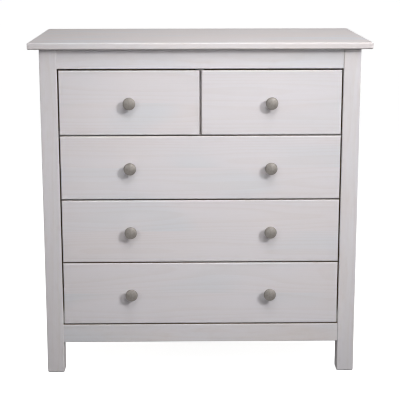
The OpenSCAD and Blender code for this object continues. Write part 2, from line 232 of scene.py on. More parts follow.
# How many rings the heart of the log sways by
RING_SWAY = 14.0
# Where in a ring the latewood darkens, and where it stops
LATEWOOD_START = (0.35, 0.86)
LATEWOOD_STOP = (0.90, 1.0)
RING_TONE_SCALE = 0.37
RING_TONE_SHARE = 0.6
SLOW_TONE_SCALE = 2.3


def pine_figure() -> bpy.types.NodeTree:
    """Growth rings, fibres and knots of a pine board.

    Returns:
        A group that takes a place in the log, as distance along it and across its heart, and
        gives latewood lines, slow tone, fibres and knots, each from 0 to 1.
    """
    g = EffectGroup(
        "pine_figure",
        {"Grain": (0.0, 0.0, 0.0), "Ring Width": 0.0045, "Wander": 0.5, "Knot Size": 0.010,
         "Knot Share": 0.3},
        {"Latewood": "NodeSocketFloat", "Tone": "NodeSocketFloat", "Fibre": "NodeSocketFloat",
         "Knot": "NodeSocketFloat"},
    )
    s, grain = g.graph, g.inputs["Grain"]
    slow = s.vector_math("MULTIPLY", grain, SLOW_SWAY)
    wander = s.math("SUBTRACT", s.noise(slow, scale=1.0, detail=2.0), 0.5)
    # knots: the middle of some cells of a stretched cell pattern
    cells = s.vector_math("MULTIPLY", grain, KNOT_CELLS)
    cell = s.add("TexVoronoi", {"Vector": cells, "Scale": 1.0})
    share = s.add("SeparateColor", {"Color": cell.outputs["Color"]}).outputs[0]
    chosen = s.math("LESS_THAN", share, g.inputs["Knot Share"])
    size = s.math("MULTIPLY", g.inputs["Knot Size"], KNOT_CELLS[1])
    reach = s.math("DIVIDE", cell.outputs["Distance"], size)
    fall = s.math("MULTIPLY", PUSH_FALL, s.math("MULTIPLY", reach, reach))
    bulge = s.math("MULTIPLY", chosen, s.math("POWER", PUSH_BASE, fall))
    knot = s.math("MULTIPLY", chosen, s.math("SUBTRACT", 1.0, s.ramp(reach, *KNOT_RIM)))
    # rings: distance from the heart of the log, pushed aside round each knot
    across = s.add("SeparateXYZ", {"Vector": grain})
    flat = s.add("CombineXYZ", {"Y": across.outputs["Y"], "Z": across.outputs["Z"]}).outputs[0]
    heart = s.add("VectorMath", {0: flat}, operation="LENGTH").outputs["Value"]
    rings = s.math("DIVIDE", heart, g.inputs["Ring Width"])
    sway = s.math("MULTIPLY", wander, s.math("MULTIPLY", g.inputs["Wander"], RING_SWAY))
    turns = s.math("ADD", s.math("ADD", rings, sway), s.math("MULTIPLY", bulge, KNOT_PUSH))
    part = s.math("FRACT", turns)
    late = s.math("MULTIPLY", s.ramp(part, *LATEWOOD_START),
                  s.math("SUBTRACT", 1.0, s.ramp(part, *LATEWOOD_STOP)))
    ring_tone = s.noise(s.add("CombineXYZ", {"X": turns}).outputs[0], RING_TONE_SCALE,
                        detail=1.0)
    slow_tone = s.noise(slow, SLOW_TONE_SCALE, detail=3.0)
    fibre_at = s.vector_math("MULTIPLY", grain, FIBRES)
    g.put_out("Latewood", late)
    g.put_out("Tone", s.math("ADD", s.math("MULTIPLY", ring_tone, RING_TONE_SHARE),
                             s.math("MULTIPLY", slow_tone, 1.0 - RING_TONE_SHARE)))
    g.put_out("Fibre", s.noise(fibre_at, scale=1.0, detail=3.0))
    g.put_out("Knot", knot)
    return g.tree


# Patches of warmer and of cooler stain: cells to a metre, and the noise values they grow over
WARM_PATCHES = (3.0, 9.0, 9.0)
WARM_RANGE = (0.40, 0.75)
WARM_SHARE = 0.8
COOL_PATCHES = (2.0, 5.0, 5.0)
COOL_SCALE = 1.7
COOL_RANGE = (0.52, 0.78)
# How far each mark thins the stain; fibre and tone count from their middle value
LATEWOOD_THINS = 0.05
THINNED_FROM_MIDDLE = {"Fibre": 0.10, "Tone": 0.07}
# The last mark is painted shade: it thins the stain on faces inside the gaps between parts.
THINNED_BY = {"Knot": 0.14, "Rub": 0.35, "Bare": 0.85}
# Painted shade in the gaps: the dark brown that the wood there is darkened toward, and how far.
GAP_SHADE_COLOUR = (0.24, 0.17, 0.11, 1.0)
GAP_SHADE_SHARE = 0.7


def thin_wash() -> bpy.types.NodeTree:
    """A thin white stain over wood: it hides the tone and lets the figure through. In the gaps between
    parts it paints shade, thinning the stain and darkening the wood.

    Returns:
        A group that gives a colour and how thickly the stain lies, from 0 to 1.
    """
    white = (0.8, 0.8, 0.8, 1.0)
    g = EffectGroup(
        "thin_wash",
        {"Wood": white, "Wash": white, "Cool": white, "Warm": white, "Cover": 0.8,
         "Shift": 0.0, "Bare": 0.0, "Latewood": 0.0, "Tone": 0.5, "Fibre": 0.5, "Knot": 0.0,
         "Rub": 0.0, "Place": (0.0, 0.0, 0.0)},
        {"Color": "NodeSocketColor", "Thickness": "NodeSocketFloat"},
    )
    s, put = g.graph, g.inputs
    warm_at = s.vector_math("MULTIPLY", put["Place"], WARM_PATCHES)
    cool_at = s.vector_math("MULTIPLY", put["Place"], COOL_PATCHES)
    warm = s.ramp(s.noise(warm_at, scale=1.0, detail=3.0), *WARM_RANGE)
    cool = s.ramp(s.noise(cool_at, COOL_SCALE, detail=1.0), *COOL_RANGE)
    lean = s.math("ADD", s.math("MULTIPLY", warm, WARM_SHARE), put["Shift"], clamp=True)
    tinted = s.mix(cool, s.mix(lean, put["Wash"], put["Warm"]), put["Cool"])
    thin = s.math("MULTIPLY", put["Latewood"], LATEWOOD_THINS)
    for name, share in THINNED_FROM_MIDDLE.items():
        from_middle = s.math("SUBTRACT", put[name], 0.5)
        thin = s.math("ADD", thin, s.math("MULTIPLY", from_middle, share))
    for name, share in THINNED_BY.items():
        thin = s.math("ADD", thin, s.math("MULTIPLY", put[name], share))
    cover = s.math("SUBTRACT", put["Cover"], thin, clamp=True)
    # Painted shade: in the gaps the wood is darkened toward a dark brown before the stain goes over
    # it.
    wood = s.mix(s.math("MULTIPLY", put["Bare"], GAP_SHADE_SHARE), put["Wood"], GAP_SHADE_COLOUR)
    g.put_out("Color", s.mix(cover, wood, tinted))
    g.put_out("Thickness", cover)
    return g.tree


RUB_PATCHES = (28.0, 90.0, 90.0)
RUB_RANGE = (0.45, 0.75)


def edge_rub() -> bpy.types.NodeTree:
    """Where hands and cloths have rubbed the worked edges of a board, from 0 to 1.

    Returns:
        A group that gives how far an edge is rubbed.
    """
    g = EffectGroup("edge_rub", {"Edge": 0.0, "Place": (0.0, 0.0, 0.0), "Amount": 0.5},
                    {"Rub": "NodeSocketFloat"})
    s, put = g.graph, g.inputs
    broken = s.noise(s.vector_math("MULTIPLY", put["Place"], RUB_PATCHES),
                     scale=1.0, detail=4.0)
    rub = s.math("MULTIPLY", s.ramp(broken, *RUB_RANGE), put["Edge"])
    g.put_out("Rub", s.math("MULTIPLY", rub, put["Amount"], clamp=True))
    return g.tree


BRUSH_LENGTH = 3.0
SMEARS = (160.0, 160.0, 4.0)


def turned_brush() -> bpy.types.NodeTree:
    """Fine marks that a cloth leaves on metal turned in a lathe, from 0 to 1.

    Returns:
        A group that takes a place as radius, height and angle in turns.
    """
    g = EffectGroup("turned_brush", {"Turning": (0.0, 0.0, 0.0), "Fineness": 4200.0},
                    {"Brush": "NodeSocketFloat", "Smear": "NodeSocketFloat"})
    s = g.graph
    place = s.add("SeparateXYZ", {"Vector": g.inputs["Turning"]}).outputs
    run = s.math("ADD", place["X"], place["Y"])
    line = s.add("CombineXYZ", {"X": s.math("MULTIPLY", run, g.inputs["Fineness"]),
                                "Y": s.math("MULTIPLY", place["Z"], BRUSH_LENGTH)}).outputs[0]
    g.put_out("Brush", s.noise(line, scale=1.0, detail=3.0))
    smear_at = s.vector_math("MULTIPLY", g.inputs["Turning"], SMEARS)
    g.put_out("Smear", s.noise(smear_at, scale=1.0, detail=2.0))
    return g.tree


# ---------------------------------------------------------------- finishes


class Effects:
    """The node groups that the finishes share, each built once."""

    def __init__(self) -> None:
        """Builds every group."""
        self.pine = pine_figure()
        self.wash = thin_wash()
        self.rub = edge_rub()
        self.brush = turned_brush()


@dataclass(frozen=True)
class Finish:
    """What every finish has."""

    slot: Slot
    roughness: float

    def material(self, effects: Effects, grain: Axis | None = None) -> bpy.types.Material:
        """Makes the finish's material.

        Args:
            effects: The shared node groups.
            grain: The row axis that the grain follows on a piece with no grain of its own.

        Returns:
            The material.
        """
        suffix = f"_along_{grain.name.lower()}" if grain else ""
        made = bpy.data.materials.new(self.slot.value + suffix)
        made.use_nodes = True
        made.node_tree.nodes.clear()
        graph = Graph(made.node_tree)
        shader = graph.add("BsdfPrincipled", {"Roughness": self.roughness})
        graph.add("OutputMaterial", {"Surface": shader.outputs[0]})
        self.dress(graph, shader, effects, grain)
        return made

    def dress(self, graph: Graph, shader: bpy.types.Node, effects: Effects,
              grain: Axis | None) -> None:
        """Adds the finish's own nodes to a plain shader."""
        raise NotImplementedError

    def place(self, graph: Graph, grain: Axis | None) -> bpy.types.NodeSocket:
        """Returns where a point lies in its log: along it, then across its heart.

        Args:
            graph: The tree that the finish is built in.
            grain: Row axis of the grain on a piece that carries no grain of its own.

        Returns:
            The socket of the place, as a vector.
        """
        if grain is None:
            return graph.add("Attribute", attribute_name="grain").outputs["Vector"]
        at = graph.add("TexCoord").outputs["Object"]
        split = graph.add("SeparateXYZ", {"Vector": at}).outputs
        order = [split[(grain.value + k) % 3] for k in range(3)]
        return graph.add("CombineXYZ", dict(enumerate(order))).outputs[0]


@dataclass(frozen=True)
class WashedPine(Finish):
    """Planed pine under a thin matt white stain."""

    wood: tuple = (0.58, 0.44, 0.29, 1.0)
    wash: tuple = (0.815, 0.795, 0.835, 1.0)
    warm: tuple = (0.825, 0.775, 0.785, 1.0)
    cool: tuple = (0.785, 0.785, 0.83, 1.0)
    cover: float = 0.93
    ring_width: float = 0.0048
    knot_share: float = 0.12
    rub: float = 0.5
    dark_share: float = 0.8
    fibre_roughness: float = 0.16
    roughness_drop: float = 0.08
    fibre_relief: float = 0.6
    latewood_relief: float = 0.4
    relief: float = 0.10
    relief_depth: float = 0.6 * MM

    def dress(self, graph: Graph, shader: bpy.types.Node, effects: Effects,
              grain: Axis | None) -> None:
        """Adds figure, stain, rubbed edges and the relief of the fibres.

        Args:
            graph: The tree that the finish is built in.
            shader: The plain shader that the nodes feed.
            effects: The shared node groups.
            grain: Row axis of the grain on a piece that carries no grain of its own.
        """
        at = self.place(graph, grain)
        figure = graph.group(effects.pine, {"Grain": at, "Ring Width": self.ring_width,
                                            "Knot Share": self.knot_share}).outputs
        edge = graph.add("Attribute", attribute_name="edge").outputs["Fac"]
        rub = graph.group(effects.rub, {"Edge": edge, "Place": at,
                                        "Amount": self.rub}).outputs["Rub"]
        dark = tuple(self.dark_share * part for part in self.wood[:3]) + (1.0,)
        wood = graph.mix(figure["Tone"], self.wood, dark)
        stave = graph.add("Attribute", attribute_name="stave").outputs["Fac"]
        # Painted shade in the gaps between parts, as each board writes it.
        bare = graph.add("Attribute", attribute_name="bare").outputs["Fac"]
        stain = graph.group(effects.wash, {
            "Wood": wood, "Wash": self.wash, "Cool": self.cool, "Warm": self.warm,
            "Cover": self.cover, "Shift": stave, "Bare": bare,
            "Latewood": figure["Latewood"], "Tone": figure["Tone"], "Fibre": figure["Fibre"],
            "Knot": figure["Knot"], "Rub": rub, "Place": at}).outputs
        link = graph.tree.links.new
        link(stain["Color"], shader.inputs["Base Color"])
        rough = graph.math("ADD", graph.math("MULTIPLY", figure["Fibre"], self.fibre_roughness),
                           graph.math("MULTIPLY", stain["Thickness"],
                                      self.roughness - self.roughness_drop))
        link(rough, shader.inputs["Roughness"])
        height = graph.math("ADD", graph.math("MULTIPLY", figure["Fibre"], self.fibre_relief),
                            graph.math("MULTIPLY", figure["Latewood"], self.latewood_relief))
        bump = graph.add("Bump", {"Height": height, "Strength": self.relief,
                                  "Distance": self.relief_depth})
        link(bump.outputs[0], shader.inputs["Normal"])


@dataclass(frozen=True)
class BareWood(Finish):
    """Planed wood with no finish: pine, beech or the face of thin plywood."""

    light: tuple = (0.74, 0.56, 0.34, 1.0)
    dark: tuple = (0.55, 0.34, 0.16, 1.0)
    knot: tuple = (0.26, 0.12, 0.05, 1.0)
    ring_width: float = 0.0042
    knot_share: float = 0.22
    tone_range: tuple = (0.2, 0.8)
    latewood_share: float = 0.75
    fibre_share: float = 0.25
    knot_strength: float = 0.8
    fibre_roughness: float = 0.15
    roughness_drop: float = 0.08
    latewood_relief: float = 0.5
    relief: float = 0.15
    relief_depth: float = 0.5 * MM

    def dress(self, graph: Graph, shader: bpy.types.Node, effects: Effects,
              grain: Axis | None) -> None:
        """Adds figure, knots and the relief of the fibres.

        Args:
            graph: The tree that the finish is built in.
            shader: The plain shader that the nodes feed.
            effects: The shared node groups.
            grain: Row axis of the grain on a piece that carries no grain of its own.
        """
        figure = graph.group(effects.pine, {
            "Grain": self.place(graph, grain), "Ring Width": self.ring_width,
            "Knot Share": self.knot_share}).outputs
        late = graph.math("MULTIPLY", figure["Latewood"], graph.ramp(figure["Tone"], *self.tone_range))
        shade = graph.math("ADD", graph.math("MULTIPLY", late, self.latewood_share),
                           graph.math("MULTIPLY", figure["Fibre"], self.fibre_share))
        colour = graph.mix(shade, self.light, self.dark)
        knots = graph.math("MULTIPLY", figure["Knot"], self.knot_strength)
        colour = graph.mix(knots, colour, self.knot)
        link = graph.tree.links.new
        link(colour, shader.inputs["Base Color"])
        rough = graph.math("ADD", graph.math("MULTIPLY", figure["Fibre"], self.fibre_roughness),
                           self.roughness - self.roughness_drop)
        link(rough, shader.inputs["Roughness"])
        height = graph.math("ADD", figure["Fibre"],
                            graph.math("MULTIPLY", late, self.latewood_relief))
        bump = graph.add("Bump", {"Height": height, "Strength": self.relief,
                                  "Distance": self.relief_depth})
        link(bump.outputs[0], shader.inputs["Normal"])


@dataclass(frozen=True)
class TurnedMetal(Finish):
    """Metal brushed in a lathe."""

    bright: tuple = (0.385, 0.356, 0.331, 1.0)
    dull: tuple = (0.310, 0.285, 0.264, 1.0)
    metal: float = 0.9
    smear_range: tuple = (0.3, 0.75)
    brush_roughness: float = 0.14
    smear_roughness: float = 0.10
    roughness_drop: float = 0.12
    relief: float = 0.08
    relief_depth: float = 0.2 * MM

    def dress(self, graph: Graph, shader: bpy.types.Node, effects: Effects,
              grain: Axis | None) -> None:
        """Adds the turning marks to the colour, the gloss and the surface.

        Args:
            graph: The tree that the finish is built in.
            shader: The plain shader that the nodes feed.
            effects: The shared node groups.
            grain: Not used.
        """
        at = graph.add("Attribute", attribute_name="turning").outputs["Vector"]
        marks = graph.group(effects.brush, {"Turning": at}).outputs
        link = graph.tree.links.new
        shader.inputs["Metallic"].default_value = self.metal
        link(graph.mix(graph.ramp(marks["Smear"], *self.smear_range), self.bright, self.dull),
             shader.inputs["Base Color"])
        smeared = graph.math("ADD", graph.math("MULTIPLY", marks["Smear"], self.smear_roughness),
                             self.roughness - self.roughness_drop)
        rough = graph.math("ADD", graph.math("MULTIPLY", marks["Brush"], self.brush_roughness),
                           smeared)
        link(rough, shader.inputs["Roughness"])
        bump = graph.add("Bump", {"Height": marks["Brush"], "Strength": self.relief,
                                  "Distance": self.relief_depth})
        link(bump.outputs[0], shader.inputs["Normal"])


FINISHES = (
    WashedPine(Slot.WASHED, 0.52),
    WashedPine(Slot.WASHED_FRONT, 0.50, wash=(0.83, 0.80, 0.84, 1.0),
               warm=(0.83, 0.785, 0.81, 1.0), knot_share=0.07),
    BareWood(Slot.BARE, 0.62),
    BareWood(Slot.PLYWOOD, 0.60, light=(0.66, 0.49, 0.30, 1.0), dark=(0.56, 0.38, 0.21, 1.0),
             ring_width=0.011, knot_share=0.05, relief=0.08),
    BareWood(Slot.BEECH, 0.55, light=(0.60, 0.40, 0.24, 1.0), dark=(0.52, 0.32, 0.18, 1.0),
             knot_share=0.0),
    TurnedMetal(Slot.NICKEL, 0.60),
    TurnedMetal(Slot.STEEL, 0.34, bright=(0.62, 0.63, 0.66, 1.0), dull=(0.48, 0.49, 0.52, 1.0),
                metal=1.0),
)


class Paintbox:
    """Hands out each finish's material."""

    def __init__(self) -> None:
        """Builds the shared groups and every finish."""
        self.effects = Effects()
        self.finishes = {finish.slot: finish for finish in FINISHES}
        self.made = {slot: finish.material(self.effects)
                     for slot, finish in self.finishes.items()}

    def dress(self, piece: bpy.types.Object, slot: Slot) -> None:
        """Gives a built piece the material of its slot.

        Args:
            piece: The built piece.
            slot: The slot whose finish it takes.
        """
        piece.data.materials.clear()
        piece.data.materials.append(self.made[slot])

    def dress_node(self, name: str, slot: Slot, grain: Axis) -> bpy.types.Object:
        """Gives a CAD node that stays as it is a material with its grain along a row axis.

        Args:
            name: The CAD node.
            slot: The slot whose finish it takes.
            grain: Row axis of its grain.

        Returns:
            The node's object.
        """
        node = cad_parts[name]
        node.data.materials.clear()
        node.data.materials.append(self.finishes[slot].material(self.effects, grain))
        return node


# ---------------------------------------------------------------- boards

TINY = 1e-7
WELD = 0.004 * MM
LEAST_RADIUS = 0.02 * MM
# How far a board is turned before an edge counts as sharp
BOARD_CREASE = math.radians(40)
TURNED_CREASE = math.radians(50)
SCREW_CREASE = math.radians(35)
# Wear on a sharp corner, and on an eased one at its ends and what its middle adds
SHARP_WEAR = 0.7
EASED_WEAR = (0.35, 0.65)
# A face narrower than this is one stave
NARROW = 0.05
WAVES_PER_METRE = 9.0
NOISE_ROOM = 9
# Where a stave was cut: along its log, aside from the heart by a share of its width, and deep
LOG_LENGTH = 6
HEART_ASIDE = 0.35
HEART_DEPTH = (0.035, 0.11)
STAVE_LEAN = 0.30
ANY_HEIGHT = (-1.0, 9.0)
# Faces turned more than this toward the front, or this near a leg's outer side, get no painted shade.
FACES_FRONT = 0.5
UNSHADED_NEAR = 5 * MM


@dataclass
class Corner:
    """A corner of a board's section, with the radius worked on it."""

    a: float
    b: float
    r: float = 0.0


def rectangle(low: Vector, high: Vector, axis: Axis, radii: tuple) -> list[Corner]:
    """The corners of a plain section, seen from the high end of the axis.

    Args:
        low: Lowest corner of the board.
        high: Highest corner of the board.
        axis: Axis that the section is swept along.
        radii: Radius of each corner: low-low, high-low, high-high, low-high.

    Returns:
        Four corners, anticlockwise, in the two axes after the swept one.
    """
    i, j = (axis.value + 1) % 3, (axis.value + 2) % 3
    spots = ((low[i], low[j]), (high[i], low[j]), (high[i], high[j]), (low[i], high[j]))
    return [Corner(a, b, r) for (a, b), r in zip(spots, radii)]


def section_points(corners: list[Corner], arcs: list[int], flats: list[int]) -> list[tuple]:
    """The points round a section.

    Args:
        corners: The section's corners.
        arcs: Steps in each corner's arc, 0 for a sharp corner.
        flats: Steps along the flat after each corner.

    Returns:
        (a, b, edge) for each point, edge being 1 on a worked corner and 0 on a flat.
    """
    count = len(corners)
    spots = [Vector((c.a, c.b)) for c in corners]

    def toward(k: int, step: int) -> Vector:
        """Unit direction from corner k to the next corner that isn't at the same spot.

        Args:
            k: The corner.
            step: 1 for onward, -1 for back.

        Returns:
            The direction, or a zero vector when every corner is at one spot.
        """
        for n in range(1, count):
            way = spots[(k + step * n) % count] - spots[k]
            if way.length > TINY:
                return way.normalized()
        return Vector((0.0, 0.0))

    rings = []
    for k, corner in enumerate(corners):
        if arcs[k] == 0:
            rings.append([(*spots[k], SHARP_WEAR)])
            continue
        back, on = toward(k, -1), toward(k, 1)
        centre = spots[k] + corner.r * (back + on)
        ring = []
        for n in range(arcs[k] + 1):
            turn = math.pi / 2 * n / arcs[k]
            spot = centre - corner.r * (on * math.cos(turn) + back * math.sin(turn))
            ring.append((*spot, EASED_WEAR[0] + EASED_WEAR[1] * math.sin(2 * turn)))
        rings.append(ring)
    points = []
    for k, ring in enumerate(rings):
        points.extend(ring)
        start, stop = Vector(ring[-1][:2]), Vector(rings[(k + 1) % count][0][:2])
        for n in range(1, flats[k]):
            points.append((*start.lerp(stop, n / flats[k]), 0.0))
    return points


@dataclass
class Board:
    """One board, lofted along an axis through sections that may change at its ends."""

    name: str
    body: str
    node: str
    slot: Slot
    low: Vector
    high: Vector
    axis: Axis
    corners: list[Corner]
    grain: Axis | None = None
    end: End = End.SQUARE
    end_r: float = 1.0 * MM
    staves: int = 1
    warmth: float = 0.0
    # Painted shade in the gaps: on side faces behind this depth and between these heights, but not
    # near this x.
    unwashed_from: float | None = None
    unwashed_heights: tuple = ANY_HEIGHT
    unshaded_x: float | None = None
    breaks: list[tuple[float, list[Corner]]] = field(default_factory=list)
    wave: float = 0.12 * MM
    step: float = 60 * MM
    arc_steps: int = 5

    def clamped(self, corners: list[Corner], inset: float, front_only: bool) -> list[Corner]:
        """A section drawn in by an inset, on the low-a side only or all round.

        Args:
            corners: The section.
            inset: How far it is drawn in.
            front_only: Whether only the low-a side is drawn in.

        Returns:
            The new section's corners.
        """
        i, j = (self.axis.value + 1) % 3, (self.axis.value + 2) % 3
        drawn = []
        for c in corners:
            a = max(c.a, self.low[i] + inset)
            b = c.b
            if not front_only:
                a = min(a, self.high[i] - inset)
                b = min(max(b, self.low[j] + inset), self.high[j] - inset)
            drawn.append(Corner(a, b, max(c.r - inset, LEAST_RADIUS) if c.r else 0.0))
        return drawn

    def stations(self) -> list[tuple[float, list[Corner]]]:
        """The sections along the board, from its low end to its high end.

        Returns:
            A place along the axis and the section there, in order.
        """
        k = self.axis.value
        start, stop = self.low[k], self.high[k]
        plan = [(start, self.corners)] + self.breaks
        inner: list[tuple[float, list[Corner]]] = []
        for n, (at, corners) in enumerate(plan):
            until = plan[n + 1][0] if n + 1 < len(plan) else stop
            steps = max(1, round((until - at) / self.step))
            inner += [(at + (until - at) * m / steps, corners) for m in range(steps + 1)]
        if self.end is End.SQUARE:
            return inner
        if self.end is End.FOOT:
            foot = (start, self.clamped(self.corners, self.end_r, False))
            return [foot, (start + self.end_r, self.corners)] + inner[1:]
        front = self.end is End.FRONT_EASED
        worked = []
        for n in range(self.arc_steps):
            turn = math.pi / 2 * n / self.arc_steps
            inset = self.end_r * (1 - math.sin(turn))
            worked.append((self.end_r * (1 - math.cos(turn)), inset))
        head = [(start + s, self.clamped(inner[0][1], i, front)) for s, i in worked]
        tail = [(stop - s, self.clamped(inner[-1][1], i, front)) for s, i in reversed(worked)]
        kept = [(at, c) for at, c in inner
                if start + self.end_r < at < stop - self.end_r]
        ease = [(start + self.end_r, inner[0][1])]
        return head + ease + kept + [(stop - self.end_r, inner[-1][1])] + tail

    def build(self) -> bpy.types.Object:
        """Lofts the mesh, works it a little uneven, and writes its grain and edges.

        Returns:
            The finished object.
        """
        stations = self.stations()
        count = len(self.corners)
        arcs = [self.arc_steps if any(s[1][k].r > 0 for s in stations) else 0
                for k in range(count)]
        flats = []
        for k in range(count):
            long = max(math.hypot(s[1][k].a - s[1][(k + 1) % count].a,
                                  s[1][k].b - s[1][(k + 1) % count].b) for s in stations)
            flats.append(max(1, round(long / self.step)) * (self.staves if long > NARROW else 1))
        order = [self.axis.value, (self.axis.value + 1) % 3, (self.axis.value + 2) % 3]
        verts, edges_on, loops = [], [], []
        for at, corners in stations:
            loop = []
            for a, b, worked in section_points(corners, arcs, flats):
                spot = [0.0, 0.0, 0.0]
                for axis, value in zip(order, (at, a, b)):
                    spot[axis] = value
                loop.append(len(verts))
                verts.append(spot)
                edges_on.append(worked)
            loops.append(loop)
        size = len(loops[0])
        faces = [[lower[n], lower[(n + 1) % size], upper[(n + 1) % size], upper[n]]
                 for lower, upper in zip(loops, loops[1:]) for n in range(size)]
        faces += [loops[0][::-1], loops[-1]]
        mesh = bpy.data.meshes.new(self.name)
        mesh.from_pydata(verts, [], faces)
        edge = mesh.attributes.new("edge", "FLOAT", "POINT")
        edge.data.foreach_set("value", edges_on)
        work = bmesh.new()
        work.from_mesh(mesh)
        bmesh.ops.remove_doubles(work, verts=work.verts, dist=WELD)
        bmesh.ops.dissolve_degenerate(work, edges=work.edges, dist=WELD)
        work.normal_update()
        seat = Vector(random.Random(f"{SEED} {self.name}").uniform(0, NOISE_ROOM)
                      for _ in range(3))
        for v in work.verts:
            ripple = 0.5 + 0.5 * noise.noise(v.co * WAVES_PER_METRE + seat)
            v.co -= v.normal * (self.wave * min(1.0, max(0.0, ripple)))
        work.to_mesh(mesh)
        work.free()
        self.write_grain(mesh)
        mesh.shade_smooth()
        mesh.set_sharp_from_angle(angle=BOARD_CREASE)
        piece = bpy.data.objects.new(self.name, mesh)
        bpy.context.scene.collection.objects.link(piece)
        weighted = piece.modifiers.new("even_normals", "WEIGHTED_NORMAL")
        weighted.keep_sharp = True
        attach(piece, self.body)
        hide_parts(self.node)
        return piece

    def write_grain(self, mesh: bpy.types.Mesh) -> None:
        """Writes each face corner's place in its log, stave by stave, from the board's seed.

        Args:
            mesh: The lofted mesh.
        """
        luck = random.Random(f"{SEED} grain {self.name}")
        along = (self.grain or self.axis).value
        others = [k for k in range(3) if k != along]
        wide = max(others, key=lambda k: self.high[k] - self.low[k])
        thick = next(k for k in others if k != wide)
        width = (self.high[wide] - self.low[wide]) / self.staves
        logs = []
        for n in range(self.staves):
            centre = self.low[wide] + (n + 0.5) * width
            off_heart = luck.uniform(-HEART_ASIDE, HEART_ASIDE) * width
            depth = luck.choice((-1, 1)) * luck.uniform(*HEART_DEPTH)
            logs.append((luck.uniform(0, LOG_LENGTH), off_heart - centre,
                         depth - (self.low[thick] + self.high[thick]) / 2))
        leans = [self.warmth + luck.uniform(0.0, STAVE_LEAN) for _ in logs]
        mesh.attributes.new("grain", "FLOAT_VECTOR", "CORNER")
        mesh.attributes.new("stave", "FLOAT", "CORNER")
        mesh.attributes.new("bare", "FLOAT", "CORNER")
        values = [0.0] * (3 * len(mesh.loops))
        tones = [0.0] * len(mesh.loops)
        bare = [0.0] * len(mesh.loops)
        for face in mesh.polygons:
            # Painted shade on the faces that lie inside the gaps between parts.
            edge = 1.0 if self.unwashed(face) else 0.0
            stave = int((face.center[wide] - self.low[wide]) / width)
            stave = min(self.staves - 1, max(0, stave))
            shift = logs[stave]
            for k in face.loop_indices:
                tones[k] = leans[stave]
                bare[k] = edge
                co = mesh.vertices[mesh.loops[k].vertex_index].co
                values[3 * k] = co[along] + shift[0]
                values[3 * k + 1] = co[wide] + shift[1]
                values[3 * k + 2] = co[thick] + shift[2]
        mesh.attributes["grain"].data.foreach_set("vector", values)
        mesh.attributes["stave"].data.foreach_set("value", tones)
        mesh.attributes["bare"].data.foreach_set("value", bare)

    def unwashed(self, face: bpy.types.MeshPolygon) -> bool:
        """Whether a face lies on an edge that closes a gap, where shade is painted.

        Args:
            face: A face of the lofted mesh.

        Returns:
            True where shade is painted.
        """
        if self.unwashed_from is None or abs(face.normal.y) > FACES_FRONT:
            return False
        if self.unshaded_x is not None and abs(face.center.x - self.unshaded_x) < UNSHADED_NEAR:
            return False
        low, high = self.unwashed_heights
        return face.center.y > self.unwashed_from and low < face.center.z < high


def node_board(name: str, body: str, slot: Slot, axis: Axis, radii: tuple,
               **more: object) -> Board:
    """A board of a CAD node's own size, with a plain section.

    Args:
        name: The CAD node.
        body: The body that it rides on.
        slot: Its finish.
        axis: Axis that it is lofted along.
        radii: Radius of each corner of its section.
        **more: Other fields of the board.

    Returns:
        The board, not built yet.
    """
    low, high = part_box(name)
    return Board(f"{name}_board", body, name, slot, low, high, axis,
                 rectangle(low, high, axis, radii), **more)


# ---------------------------------------------------------------- fittings


def lathe(name: str, profile: list[tuple[float, float]], segments: int) -> bpy.types.Mesh:
    """Turns a profile round its own axis.

    Args:
        name: The mesh's name.
        profile: (radius, height) points. The first and last lie on the axis.
        segments: Steps in a full turn.

    Returns:
        A closed mesh, smooth shaded; its turning marks' attribute is written apart.
    """
    verts = [(0.0, 0.0, profile[0][1])]
    for r, z in profile[1:-1]:
        for n in range(segments):
            turn = 2 * math.pi * n / segments
            verts.append((r * math.cos(turn), r * math.sin(turn), z))
    verts.append((0.0, 0.0, profile[-1][1]))
    rows, last = len(profile) - 2, len(verts) - 1
    faces = []
    for n in range(segments):
        on = (n + 1) % segments
        faces.append((0, 1 + on, 1 + n))
        for row in range(rows - 1):
            low, high = 1 + row * segments, 1 + (row + 1) * segments
            faces.append((low + n, low + on, high + on, high + n))
        top = 1 + (rows - 1) * segments
        faces.append((top + n, top + on, last))
    mesh = bpy.data.meshes.new(name)
    mesh.from_pydata(verts, [], faces)
    mesh.shade_smooth()
    mesh.set_sharp_from_angle(angle=TURNED_CREASE)
    return mesh


def write_turning(mesh: bpy.types.Mesh) -> None:
    """Writes radius, height and angle, in turns, for a mesh turned round its own Z axis.

    Args:
        mesh: The turned mesh.
    """
    data = mesh.attributes.new("turning", "FLOAT_VECTOR", "POINT")
    values = []
    for v in mesh.vertices:
        turn = math.atan2(v.co.y, v.co.x) / (2 * math.pi)
        values += [math.hypot(v.co.x, v.co.y), v.co.z, abs(turn) * 2]
    data.data.foreach_set("vector", values)


def arc(centre: tuple, r: float, start: float, stop: float, steps: int) -> list[tuple]:
    """Points on an arc between two angles in degrees, both ends included.

    Args:
        centre: The arc's centre.
        r: Its radius.
        start: First angle.
        stop: Last angle.
        steps: Steps between them.

    Returns:
        The points, in order.
    """
    turns = [math.radians(start + (stop - start) * n / steps) for n in range(steps + 1)]
    return [(centre[0] + r * math.cos(t), centre[1] + r * math.sin(t)) for t in turns]


